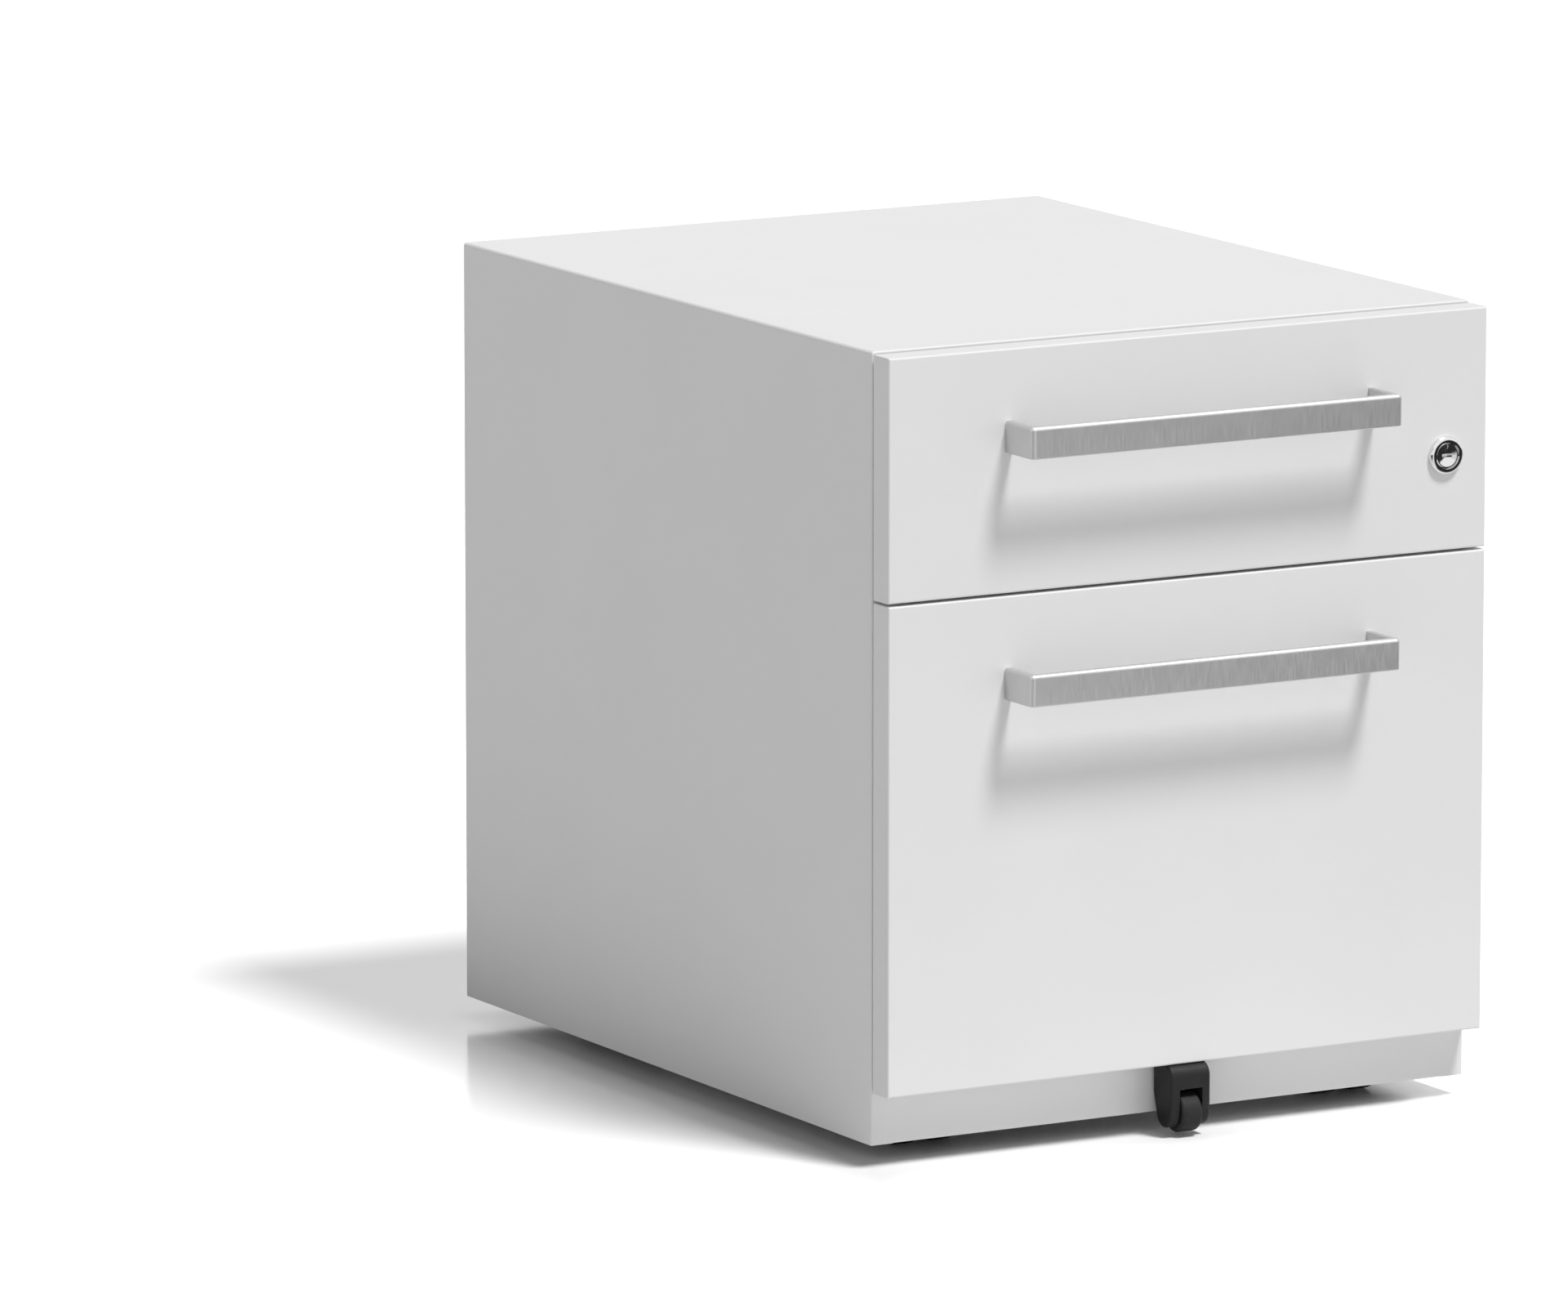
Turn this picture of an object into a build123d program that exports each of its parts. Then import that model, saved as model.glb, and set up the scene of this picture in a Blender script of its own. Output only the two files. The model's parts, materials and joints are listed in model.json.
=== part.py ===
from build123d import *
import os
from math import hypot

# Two-drawer mobile filing cabinet in folded, powder-coated sheet steel.
# Millimetres. +X is right seen from the front, +Y goes to the back, +Z is up.
# The origin is on the floor, under the middle of the bounding box.

# Carcass
WIDTH = 420.0
HEIGHT = 495.0
CARCASS_DEPTH = 512.8
FLOOR_GAP = 13.0
SHEET = 1.0
WRAP_BEND = 2.0
EDGE_BEND = 1.2
FRONT_RETURN = 15.0
SIDE_RETURN = 12.0
BACK_INSET = 1.0
BACK_FLANGE = 12.0
BASE_SHEET = 1.2
BASE_FLANGE = 10.0
PLINTH_RETURN = 10.0

# Drawer fronts
FRONT_GAP = 2.2
FRONT_THICKNESS = 18.0
TOP_REVEAL = 1.6
UPPER_FRONT_HEIGHT = 147.8
DRAWER_GAP = 1.8
PLINTH_SHOW = 32.5

# Drawer trays
TRAY_SHEET = 0.8
TRAY_BEND = 1.4
TRAY_LIP = 8.0
TRAY_TAB = 10.0
TRAY_DROP = 24.0
UPPER_TRAY_LIFT = 8.0
LOWER_TRAY_ROOM = 7.0
TRAY_BACK_ROOM = 50.0
TRAY_BACK_FLANGE = 12.0
RAIL_SHEET = 1.5
RAIL_INSET = 15.0
RAIL_RISE = 16.0
RAIL_LEG = 12.0
RAIL_DROP = 14.0
RAIL_END_ROOM = 20.0

# Handles
HANDLE_WIDTH = 260.0
HANDLE_HEIGHT = 19.5
HANDLE_STRAP = 5.0
HANDLE_REACH = 32.0
HANDLE_DROP = 53.0
HANDLE_BEND = 3.0
HANDLE_INNER_BEND = 1.0
HANDLE_EASE = 1.0
HANDLE_CROWN = 2.4
STUD_RADIUS = 1.75
STUD_LENGTH = 9.0
NUT_ACROSS = 8.0
NUT_HEIGHT = 4.0

# Runners, three members deep
RUNNER_SHEET = 1.2
RUNNER_THICKNESS = 12.7
RUNNER_HALF_HEIGHT = 22.5
RUNNER_OUTER_DEPTH = 11.0
RUNNER_OUTER_LIP = 2.0
RUNNER_MIDDLE_HALF = 17.0
RUNNER_MIDDLE_SETBACK = 2.6
RUNNER_INNER_HALF = 11.5
RUNNER_INNER_DEPTH = 8.0
RUNNER_BEND = 0.9
RUNNER_START = 12.0
RUNNER_BACK_ROOM = 52.0
MEMBER_END_STEP = 2.0
RETURN_CLEARANCE = 1.0
UPPER_RUNNER_LIFT = 32.0
LOWER_RUNNER_LIFT = 120.0
BALL_CLEARANCE = 0.2
BALL_COUNT = 8
BALL_PITCH = 14.0
BALL_STRIP_START = 138.0
BALL_STRIP_SHEET = 1.0
BALL_STRIP_WIDTH = 4.6
UPRIGHT_SHEET = 1.2
UPRIGHT_WIDTH = 30.0
UPRIGHT_INSET = 40.0
UPRIGHT_TOP_ROOM = 16.0
RUNNER_SCREW_RADIUS = 1.9
RUNNER_SCREW_HEAD_RADIUS = 3.4
RUNNER_SCREW_HEAD = 0.8
RUNNER_SCREW_TAIL = 3.0
SCREW_CLEARANCE = 0.1

# Lock
LOCK_INSET = 29.7
LOCK_DROP = 89.1
LOCK_RING_RADIUS = 11.8
LOCK_PROUD = 3.6
LOCK_RING_EASE = 2.2
LOCK_BARREL_RADIUS = 9.2
LOCK_PLUG_RADIUS = 8.3
LOCK_PLUG_RECESS = 0.5
LOCK_PLUG_EASE = 0.9
LOCK_DISH_RADIUS = 6.8
LOCK_DISH_DEPTH = 1.2
LOCK_NUT_RADIUS = 13.0
LOCK_NUT_HEIGHT = 4.0
LOCK_TAIL_RADIUS = 4.0
LOCK_TAIL_HEAD_RADIUS = 5.2
LOCK_TAIL_HEAD = 1.5
KEYWAY_WIDTH = 7.0
KEYWAY_HEIGHT = 2.2
KEYWAY_DEPTH = 9.0
INDEX_SIZE = 2.4
INDEX_DEPTH = 0.7
INDEX_RADIUS = 5.6
CAM_SHEET = 2.5
CAM_HUB_RADIUS = 7.0
CAM_TIP_RADIUS = 5.0
CAM_GAP = 1.5
RUNNING_CLEARANCE = 0.05
LOCK_LIFT = 8.0
LOCK_BAR_WIDTH = 6.0
LOCK_BAR_SHEET = 3.0
LOCK_BAR_CLEARANCE = 0.5
LOCK_HOOK_DROP = 65.0
LOCK_HOOK_HEIGHT = 12.0
LOCK_HOOK_CLEARANCE = 3.5
CATCH_SHEET = 1.5
CATCH_HEIGHT = 14.0
CATCH_LENGTH = 30.0
CATCH_CLEARANCE = 2.0
GUIDE_WALL = 2.5
GUIDE_HEIGHT = 12.0
GUIDE_CLEARANCE = 0.35
LOWER_GUIDE_RISE = 14.0
UPPER_GUIDE_DROP = 46.0

# Casters
CASTER_RADIUS = 20.0
CASTER_WHEEL_WIDTH = 16.0
CASTER_WHEEL_GAP = 10.0
CASTER_TRAIL = 16.0
CASTER_HEAD = 12.0
CASTER_SIDE_ROOM = 6.3
CASTER_FRONT_ROOM = 15.0
CASTER_REAR_ROOM = 20.0
CASTER_PLATE_SIZE = 42.0
CASTER_PLATE_SHEET = 2.0
CASTER_BOLT_SPACING = 31.0
CASTER_SCREW_RADIUS = 2.0
CASTER_SCREW_HEAD_RADIUS = 3.6
CASTER_SCREW_HEAD = 2.0
CASTER_SCREW_TAIL = 3.0
CASTER_PIN_RADIUS = 4.0
CASTER_PIN_HEAD_RADIUS = 6.0
CASTER_PIN_HEAD = 1.6
CASTER_HUB_RADIUS = 11.0
CASTER_HUB_HEIGHT = 8.2
CASTER_HUB_GAP = 0.4
CASTER_HOOD_GAP = 1.2
CASTER_HOOD_WALL = 1.8
CASTER_WEB_GAP = 1.0
CASTER_AXLE_RADIUS = 3.0
CASTER_BOSS_RADIUS = 7.0
CASTER_TREAD_EASE = 2.5
CASTER_DISH_RADIUS = 15.0
CASTER_DISH_DEPTH = 2.0
CASTER_CAP_RADIUS = 6.0
PRESS_CLEARANCE = 0.02

# Fifth wheel under the lower drawer front
FIFTH_RADIUS = 12.5
FIFTH_WIDTH = 14.0
FIFTH_FLOOR_GAP = 2.5
FIFTH_PLINTH_GAP = 2.0
FIFTH_SLOT = 16.0
FIFTH_SLOT_GAP = 3.0
FIFTH_HOUSING_WIDTH = 27.5
FIFTH_HOUSING_PROUD = 4.0
FIFTH_HOUSING_BACK_GAP = 3.2
FIFTH_HOUSING_SHOULDER = 22.0
FIFTH_CHEEK_RADIUS = 9.0
FIFTH_CROWN = 8.0
FIFTH_SIDE_EASE = 1.6
FIFTH_AXLE_RADIUS = 2.0
FIFTH_TREAD_EASE = 2.0
FIFTH_SCREW_SPACING = 18.0
FIFTH_SCREW_RADIUS = 1.5
FIFTH_SCREW_HEAD_RADIUS = 3.0
FIFTH_SCREW_HEAD = 1.8
FIFTH_SCREW_DEPTH = 9.0

# Main planes that follow from the sizes above
half_width = WIDTH / 2
inner_half = half_width - SHEET
overall_depth = CARCASS_DEPTH + FRONT_GAP + FRONT_THICKNESS + HANDLE_REACH
handle_face = -overall_depth / 2
front_face = handle_face + HANDLE_REACH
front_rear = front_face + FRONT_THICKNESS
carcass_front = front_rear + FRONT_GAP
carcass_back = carcass_front + CARCASS_DEPTH
back_flange_front = carcass_back - BACK_INSET - BACK_FLANGE

upper_top = HEIGHT - TOP_REVEAL
upper_bottom = upper_top - UPPER_FRONT_HEIGHT
lower_top = upper_bottom - DRAWER_GAP
lower_bottom = FLOOR_GAP + PLINTH_SHOW

base_bottom = 2 * CASTER_RADIUS + CASTER_HEAD
base_top = base_bottom + BASE_SHEET

runner_plane = half_width - FRONT_RETURN - RETURN_CLEARANCE
tray_half = runner_plane - RUNNER_THICKNESS
tray_inner = tray_half - TRAY_SHEET
tray_back = carcass_back - TRAY_BACK_ROOM
upper_tray = (upper_bottom + UPPER_TRAY_LIFT, upper_top - TRAY_DROP)
lower_tray = (base_top + LOWER_TRAY_ROOM, lower_top - TRAY_DROP)

runner_front = carcass_front + RUNNER_START
runner_back = carcass_back - RUNNER_BACK_ROOM
runner_heights = {
    "upper": upper_tray[0] + UPPER_RUNNER_LIFT,
    "lower": lower_tray[0] + LOWER_RUNNER_LIFT,
}
upright_centres = {
    "front": runner_front + UPRIGHT_INSET,
    "rear": runner_back - UPRIGHT_INSET,
}
sides = {"left": -1, "right": 1}

lock_x = half_width - LOCK_INSET
lock_z = upper_top - LOCK_DROP
liner_front = front_rear - SHEET
cam_front = carcass_front + SHEET + CAM_GAP
bar_x = half_width - (SHEET + FRONT_RETURN) / 2
bar_back = cam_front + LOCK_BAR_SHEET
bar_top = lock_z - CAM_TIP_RADIUS - LOCK_BAR_CLEARANCE + LOCK_LIFT
hook_bottom = lower_top - LOCK_HOOK_DROP
hook_top = hook_bottom + LOCK_HOOK_HEIGHT

wheel_inner = CASTER_WHEEL_GAP / 2
wheel_outer = wheel_inner + CASTER_WHEEL_WIDTH
caster_reach = hypot(CASTER_TRAIL + CASTER_RADIUS, wheel_outer)
caster_x = half_width - SIDE_RETURN - CASTER_SIDE_ROOM - caster_reach
caster_rows = {
    "front": carcass_front + PLINTH_RETURN + CASTER_FRONT_ROOM + caster_reach,
    "rear": back_flange_front - CASTER_REAR_ROOM - caster_reach,
}
plate_bottom = base_bottom - CASTER_PLATE_SHEET
hub_top = plate_bottom - CASTER_HUB_GAP
hub_bottom = hub_top - CASTER_HUB_HEIGHT
pin_head_top = hub_bottom - CASTER_HUB_GAP

fifth_y = carcass_front - FIFTH_PLINTH_GAP - FIFTH_RADIUS
fifth_z = FIFTH_FLOOR_GAP + FIFTH_RADIUS
fifth_slot_top = fifth_z + FIFTH_RADIUS + FIFTH_SLOT_GAP


def slab(x, y, z, mode=Mode.ADD):
    """Block between two limits along each axis, in the part being built."""
    spans = [sorted(limits) for limits in (x, y, z)]
    with Locations(tuple((low + high) / 2 for low, high in spans)):
        Box(*(high - low for low, high in spans), mode=mode)


def rod_x(y, z, radius, x, mode=Mode.ADD):
    """Cylinder along X between two limits."""
    low, high = sorted(x)
    with Locations(((low + high) / 2, y, z)):
        Cylinder(radius, high - low, rotation=(0, 90, 0), mode=mode)


def rod_y(x, z, radius, y, mode=Mode.ADD):
    """Cylinder along Y between two limits."""
    low, high = sorted(y)
    with Locations((x, (low + high) / 2, z)):
        Cylinder(radius, high - low, rotation=(90, 0, 0), mode=mode)


def rod_z(x, y, radius, z, mode=Mode.ADD):
    """Cylinder along Z between two limits."""
    low, high = sorted(z)
    with Locations((x, y, (low + high) / 2)):
        Cylinder(radius, high - low, mode=mode)


def folded_along_y(points, bend, thickness, y):
    """Sheet folded along points of its middle line in X and Z, run between two Y limits."""
    with BuildPart() as folded:
        with BuildSketch(Plane.XZ.offset(-y[0])):
            with BuildLine():
                FilletPolyline(*points, radius=bend)
            trace(line_width=thickness)
        extrude(amount=y[0] - y[1])
    return folded


def save(piece, label):
    """Names a finished piece and writes it."""
    piece.part.label = label
    export_step(piece.part, f"parts/{label}.step")


os.makedirs("parts", exist_ok=True)


# Carcass panels
def make_wrap():
    """Left side, top and right side in one sheet, turned in along the front and the bottom."""
    middle = half_width - SHEET / 2
    crown = HEIGHT - SHEET / 2
    corners = [(-middle, FLOOR_GAP), (-middle, crown), (middle, crown), (middle, FLOOR_GAP)]
    arch = folded_along_y(corners, WRAP_BEND - SHEET / 2, SHEET, (carcass_front, carcass_back))
    front = (carcass_front, carcass_front + SHEET)
    bottom = (FLOOR_GAP, FLOOR_GAP + SHEET)
    bottom_run = (carcass_front + PLINTH_RETURN, back_flange_front)
    with BuildPart() as wrap:
        add(arch.part)
        slab((-inner_half, inner_half), front, (HEIGHT - FRONT_RETURN, HEIGHT - SHEET / 2))
        for sign in sides.values():
            edge = sign * (half_width - SHEET / 2)
            slab((edge, sign * (half_width - FRONT_RETURN)), front, (FLOOR_GAP, HEIGHT - WRAP_BEND))
            slab((edge, sign * (half_width - SIDE_RETURN)), bottom_run, bottom)
        outline = wrap.faces().sort_by(Axis.Y)[0].outer_wire().edges()
        outer = outline.filter_by(lambda edge: is_outer_edge(edge.center()))
        fillet(outer, EDGE_BEND)
    return wrap


def is_outer_edge(point):
    """True for a point on the outside of the carcass, above its open bottom."""
    at_side = abs(point.X) > inner_half
    return (at_side and point.Z > FLOOR_GAP + SHEET) or point.Z > HEIGHT - SHEET


def make_back_panel():
    """Pan between the sides, with flanges turned forward."""
    edge = inner_half - SHEET / 2
    plate = carcass_back - BACK_INSET - SHEET / 2
    with BuildPart() as back:
        with BuildSketch(Plane.XY.offset(FLOOR_GAP)):
            with BuildLine():
                FilletPolyline(
                    (-edge, back_flange_front),
                    (-edge, plate),
                    (edge, plate),
                    (edge, back_flange_front),
                    radius=WRAP_BEND - SHEET / 2,
                )
            trace(line_width=SHEET)
        extrude(amount=HEIGHT - WRAP_BEND - FLOOR_GAP)
    return back


def make_base_panel():
    """Floor of the carcass, which carries the casters."""
    run = (carcass_front + SHEET, back_flange_front)
    with BuildPart() as base:
        slab((-inner_half, inner_half), run, (base_bottom, base_top))
        for sign in sides.values():
            flange = (sign * inner_half, sign * (inner_half - BASE_SHEET))
            slab(flange, run, (base_bottom - BASE_FLANGE, base_bottom))
        for x, y in caster_axes():
            for dx, dy in bolt_offsets():
                radius = CASTER_SCREW_RADIUS + SCREW_CLEARANCE
                rod_z(x + dx, y + dy, radius, (base_bottom, base_top), mode=Mode.SUBTRACT)
    return base


def make_plinth():
    """Kick panel below the lower drawer, butted between the front returns."""
    end = half_width - FRONT_RETURN
    face = carcass_front + SHEET / 2
    with BuildPart() as plinth:
        with BuildSketch(Plane.YZ.offset(-end)):
            with BuildLine():
                FilletPolyline(
                    (carcass_front + PLINTH_RETURN, base_bottom - SHEET / 2),
                    (face, base_bottom - SHEET / 2),
                    (face, FLOOR_GAP + SHEET / 2),
                    (carcass_front + PLINTH_RETURN, FLOOR_GAP + SHEET / 2),
                    radius=EDGE_BEND - SHEET / 2,
                )
            trace(line_width=SHEET)
        extrude(amount=2 * end)
    return plinth


def caster_axes():
    """Swivel axes of the four casters."""
    return [(sign * caster_x, y) for y in caster_rows.values() for sign in sides.values()]


def bolt_offsets():
    """Screw places round one swivel axis."""
    half = CASTER_BOLT_SPACING / 2
    return [(dx, dy) for dx in (-half, half) for dy in (-half, half)]


save(make_wrap(), "cabinet_wrap")
save(make_back_panel(), "back_panel")
save(make_base_panel(), "base_panel")
save(make_plinth(), "front_plinth")


# Runners and what holds them
def make_upright(sign, centre):
    """Channel on a side wall that brings the runners clear of the front return."""
    web = (sign * runner_plane, sign * (runner_plane + UPRIGHT_SHEET))
    span = (base_top, HEIGHT - UPRIGHT_TOP_ROOM)
    with BuildPart() as upright:
        slab(web, (centre - UPRIGHT_WIDTH / 2, centre + UPRIGHT_WIDTH / 2), span)
        for end in (-1, 1):
            edge = centre + end * UPRIGHT_WIDTH / 2
            slab((web[0], sign * inner_half), (edge, edge - end * UPRIGHT_SHEET), span)
        for height in runner_heights.values():
            radius = RUNNER_SCREW_RADIUS + SCREW_CLEARANCE
            rod_x(centre, height, radius, web, mode=Mode.SUBTRACT)
    return upright


def runner_points(sign, height, profile):
    """Middle line of a runner member; depths count inward from the runner plane."""
    upper = [(sign * (runner_plane - depth), height + rise) for depth, rise in profile]
    lower = [(sign * (runner_plane - depth), height - rise) for depth, rise in reversed(profile)]
    return upper + lower


def outer_profile():
    """Half of the outer member: lip, flange and web."""
    half = RUNNER_SHEET / 2
    rise = RUNNER_HALF_HEIGHT - half
    depth = RUNNER_OUTER_DEPTH - half
    return [(depth, rise - RUNNER_OUTER_LIP), (depth, rise), (half, rise)]


def middle_profile():
    """Half of the middle member, which opens towards the drawer."""
    half = RUNNER_SHEET / 2
    rise = RUNNER_MIDDLE_HALF - half
    return [(RUNNER_OUTER_DEPTH - half, rise), (RUNNER_MIDDLE_SETBACK + half, rise)]


def inner_profile():
    """Half of the inner member, which opens towards the carcass side."""
    half = RUNNER_SHEET / 2
    rise = RUNNER_INNER_HALF - half
    return [(RUNNER_THICKNESS - RUNNER_INNER_DEPTH, rise), (RUNNER_THICKNESS - half, rise)]


def make_member(sign, height, profile, y):
    """One rolled runner member."""
    points = runner_points(sign, height, profile)
    return folded_along_y(points, RUNNER_BEND, RUNNER_SHEET, y)


def make_outer_member(sign, height):
    """Outer member with its two screw holes."""
    rolled = make_member(sign, height, outer_profile(), (runner_front, runner_back))
    web = (sign * runner_plane, sign * (runner_plane - RUNNER_SHEET))
    with BuildPart() as member:
        add(rolled.part)
        for centre in upright_centres.values():
            radius = RUNNER_SCREW_RADIUS + SCREW_CLEARANCE
            rod_x(centre, height, radius, web, mode=Mode.SUBTRACT)
    return member


def make_runner_screws():
    """Two screws for each runner, with low heads inside the outer member."""
    with BuildPart() as screws:
        for sign in sides.values():
            seat = sign * (runner_plane - RUNNER_SHEET)
            head = (seat, seat - sign * RUNNER_SCREW_HEAD)
            shank = (seat, sign * (runner_plane + UPRIGHT_SHEET + RUNNER_SCREW_TAIL))
            for height in runner_heights.values():
                for centre in upright_centres.values():
                    rod_x(centre, height, RUNNER_SCREW_HEAD_RADIUS, head)
                    rod_x(centre, height, RUNNER_SCREW_RADIUS, shank)
    return screws


def make_ball_strips(height, outer_rise, inner_rise, depth):
    """Ball strips above and below one member, on both sides of the drawer."""
    middle_rise = (outer_rise + inner_rise) / 2
    radius = (outer_rise - inner_rise) / 2 - BALL_CLEARANCE
    start = runner_front + BALL_STRIP_START
    strip = (start, start + BALL_COUNT * BALL_PITCH)
    with BuildPart() as strips:
        for sign in sides.values():
            x = sign * (runner_plane - depth)
            wide = (x - BALL_STRIP_WIDTH / 2, x + BALL_STRIP_WIDTH / 2)
            for z in (height - middle_rise, height + middle_rise):
                slab(wide, strip, (z - BALL_STRIP_SHEET / 2, z + BALL_STRIP_SHEET / 2))
                centres = [start + BALL_PITCH * (index + 0.5) for index in range(BALL_COUNT)]
                with Locations(*[(x, y, z) for y in centres]):
                    Sphere(radius)
    return strips


for place, centre in upright_centres.items():
    for side, sign in sides.items():
        save(make_upright(sign, centre), f"runner_upright_{place}_{side}")

outer_ball_depth = (RUNNER_MIDDLE_SETBACK + RUNNER_OUTER_DEPTH - RUNNER_SHEET) / 2
inner_ball_depth = RUNNER_THICKNESS - RUNNER_SHEET - RUNNER_INNER_DEPTH / 2
for drawer, height in runner_heights.items():
    middle_run = (runner_front + MEMBER_END_STEP, runner_back - MEMBER_END_STEP)
    for side, sign in sides.items():
        save(make_outer_member(sign, height), f"{drawer}_runner_outer_{side}")
        middle_member = make_member(sign, height, middle_profile(), middle_run)
        save(middle_member, f"{drawer}_runner_middle_{side}")
        inner_member = make_member(sign, height, inner_profile(), middle_run)
        save(inner_member, f"{drawer}_runner_inner_{side}")
    outer_strips = make_ball_strips(
        height, RUNNER_HALF_HEIGHT - RUNNER_SHEET, RUNNER_MIDDLE_HALF, outer_ball_depth
    )
    save(outer_strips, f"{drawer}_runner_balls_outer")
    inner_strips = make_ball_strips(
        height, RUNNER_MIDDLE_HALF - RUNNER_SHEET, RUNNER_INNER_HALF, inner_ball_depth
    )
    save(inner_strips, f"{drawer}_runner_balls_inner")
save(make_runner_screws(), "runner_screws")


# Drawer fronts, liners and trays
stud_x = (HANDLE_WIDTH - HANDLE_STRAP) / 2


def make_front_pan(bottom, top, holes, floor_holes):
    """Folded front, open at the back; holes go through its face, floor holes through its floor."""
    with BuildPart() as pan:
        slab((-half_width, half_width), (front_face, front_rear), (bottom, top))
        fillet(pan.faces().sort_by(Axis.Y)[0].edges(), EDGE_BEND)
        cavity_z = (bottom + SHEET, top - SHEET)
        slab((-inner_half, inner_half), (front_face + SHEET, front_rear), cavity_z, mode=Mode.SUBTRACT)
        for x, z, radius in holes:
            rod_y(x, z, radius, (front_face, front_face + SHEET), mode=Mode.SUBTRACT)
        for x, y, radius in floor_holes:
            rod_z(x, y, radius, (bottom, bottom + SHEET), mode=Mode.SUBTRACT)
    return pan


def make_liner(bottom, top, holes):
    """Flat sheet that closes the back of a front pan."""
    with BuildPart() as liner:
        slab((-inner_half, inner_half), (liner_front, front_rear), (bottom + SHEET, top - SHEET))
        for x, z, radius in holes:
            rod_y(x, z, radius, (liner_front, front_rear), mode=Mode.SUBTRACT)
    return liner


def make_tray(bottom, top, cut_for_cam):
    """Bottom and sides in one sheet, with turned-in lips and tabs on the front liner."""
    wall = tray_half - TRAY_SHEET / 2
    floor = bottom + TRAY_SHEET / 2
    rim = top - TRAY_SHEET / 2
    points = [
        (-wall + TRAY_LIP, rim),
        (-wall, rim),
        (-wall, floor),
        (wall, floor),
        (wall, rim),
        (wall - TRAY_LIP, rim),
    ]
    trough = folded_along_y(points, TRAY_BEND, TRAY_SHEET, (front_rear, tray_back))
    tab_z = (bottom + TRAY_TAB, top - TRAY_TAB)
    with BuildPart() as tray:
        add(trough.part)
        for sign in sides.values():
            tab_x = (sign * (tray_half - TRAY_SHEET / 2), sign * (tray_half - TRAY_TAB))
            slab(tab_x, (front_rear, front_rear + TRAY_SHEET), tab_z)
        if cut_for_cam:
            cut_x = (tray_half - TRAY_TAB - TRAY_SHEET, tray_half + TRAY_SHEET)
            cut_y = (front_rear, cam_front + CAM_SHEET + LOCK_TAIL_HEAD + CAM_GAP)
            cut_z = (lock_z - CAM_HUB_RADIUS - CAM_GAP, lock_z + bar_x - lock_x + 2 * CAM_GAP)
            slab(cut_x, cut_y, cut_z, mode=Mode.SUBTRACT)
    return tray


def make_tray_back(bottom, top):
    """Back wall of a tray, with flanges turned forward on the side walls."""
    edge = tray_inner - TRAY_SHEET / 2
    plate = tray_back - TRAY_SHEET / 2
    low = bottom + TRAY_SHEET + TRAY_BEND
    high = top - TRAY_SHEET - TRAY_BEND
    with BuildPart() as wall:
        with BuildSketch(Plane.XY.offset(low)):
            with BuildLine():
                FilletPolyline(
                    (-edge, tray_back - TRAY_BACK_FLANGE),
                    (-edge, plate),
                    (edge, plate),
                    (edge, tray_back - TRAY_BACK_FLANGE),
                    radius=TRAY_BEND,
                )
            trace(line_width=TRAY_SHEET)
        extrude(amount=high - low)
    return wall


def make_filing_rail(sign, top):
    """Rail along a tray side that hanging files hook on."""
    wall = tray_inner - RAIL_SHEET / 2
    level = top - RAIL_DROP
    points = [
        (sign * wall, level - RAIL_LEG),
        (sign * wall, level),
        (sign * (tray_inner - RAIL_INSET), level),
        (sign * (tray_inner - RAIL_INSET), level + RAIL_RISE),
    ]
    run = (front_rear + RAIL_END_ROOM, tray_back - RAIL_END_ROOM)
    return folded_along_y(points, TRAY_BEND, RAIL_SHEET, run)


def make_handle(centre):
    """Flat strap bent into a U, with a stud on each end."""
    half = HANDLE_WIDTH / 2
    inside = half - HANDLE_STRAP
    with BuildPart() as handle:
        low, high = centre - HANDLE_HEIGHT / 2, centre + HANDLE_HEIGHT / 2
        slab((-half, half), (handle_face, front_face), (low, high))
        slab((-inside, inside), (handle_face + HANDLE_STRAP, front_face), (low, high), Mode.SUBTRACT)
        fillet(handle.edges().filter_by(Axis.Z).group_by(Axis.Y)[1], HANDLE_INNER_BEND)
        fillet(handle.edges().filter_by(Axis.Z).group_by(Axis.Y)[0], HANDLE_BEND)
        fillet(free_rims(handle).filter_by(lambda edge: is_crown(edge.center(), centre)), HANDLE_CROWN)
        fillet(free_rims(handle).filter_by(lambda edge: not is_crown(edge.center(), centre)), HANDLE_EASE)
        for sign in sides.values():
            rod_y(sign * stud_x, centre, STUD_RADIUS, (front_face, front_face + STUD_LENGTH))
    return handle


def free_rims(handle):
    """Edges of a handle's top and bottom faces, clear of the front that it stands on."""
    rims = handle.faces().filter_by(Axis.Z).edges()
    return rims.filter_by(lambda edge: edge.center().Y < front_face - SHEET / 2)


def is_crown(point, centre):
    """True for a point on the upper outer rim of a handle."""
    outside = point.Y < handle_face + HANDLE_BEND or abs(point.X) > HANDLE_WIDTH / 2 - HANDLE_BEND
    return outside and point.Z > centre


def make_handle_nuts(centre):
    """Nuts on the handle studs, inside the front."""
    with BuildPart() as nuts:
        with BuildSketch(Plane.XZ.offset(-(front_face + SHEET))):
            with Locations(*[(sign * stud_x, centre) for sign in sides.values()]):
                RegularPolygon(NUT_ACROSS / 2, 6, major_radius=False)
                Circle(STUD_RADIUS + PRESS_CLEARANCE, mode=Mode.SUBTRACT)
        extrude(amount=-NUT_HEIGHT)
    return nuts


def stud_holes(centre):
    """Holes in a front for the studs of its handle."""
    return [(sign * stud_x, centre, STUD_RADIUS + SCREW_CLEARANCE) for sign in sides.values()]


def fifth_screw_places():
    """Places of the two screws that hold the fifth wheel housing."""
    y = (front_face + front_rear) / 2
    return [(sign * FIFTH_SCREW_SPACING / 2, y) for sign in sides.values()]


upper_handle_z = upper_top - HANDLE_DROP
lower_handle_z = lower_top - HANDLE_DROP
lock_hole = (lock_x, lock_z, LOCK_BARREL_RADIUS + SCREW_CLEARANCE)
tail_hole = (lock_x, lock_z, LOCK_TAIL_RADIUS + CAM_GAP)
fifth_holes = [(x, y, FIFTH_SCREW_RADIUS + SCREW_CLEARANCE) for x, y in fifth_screw_places()]

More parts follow.
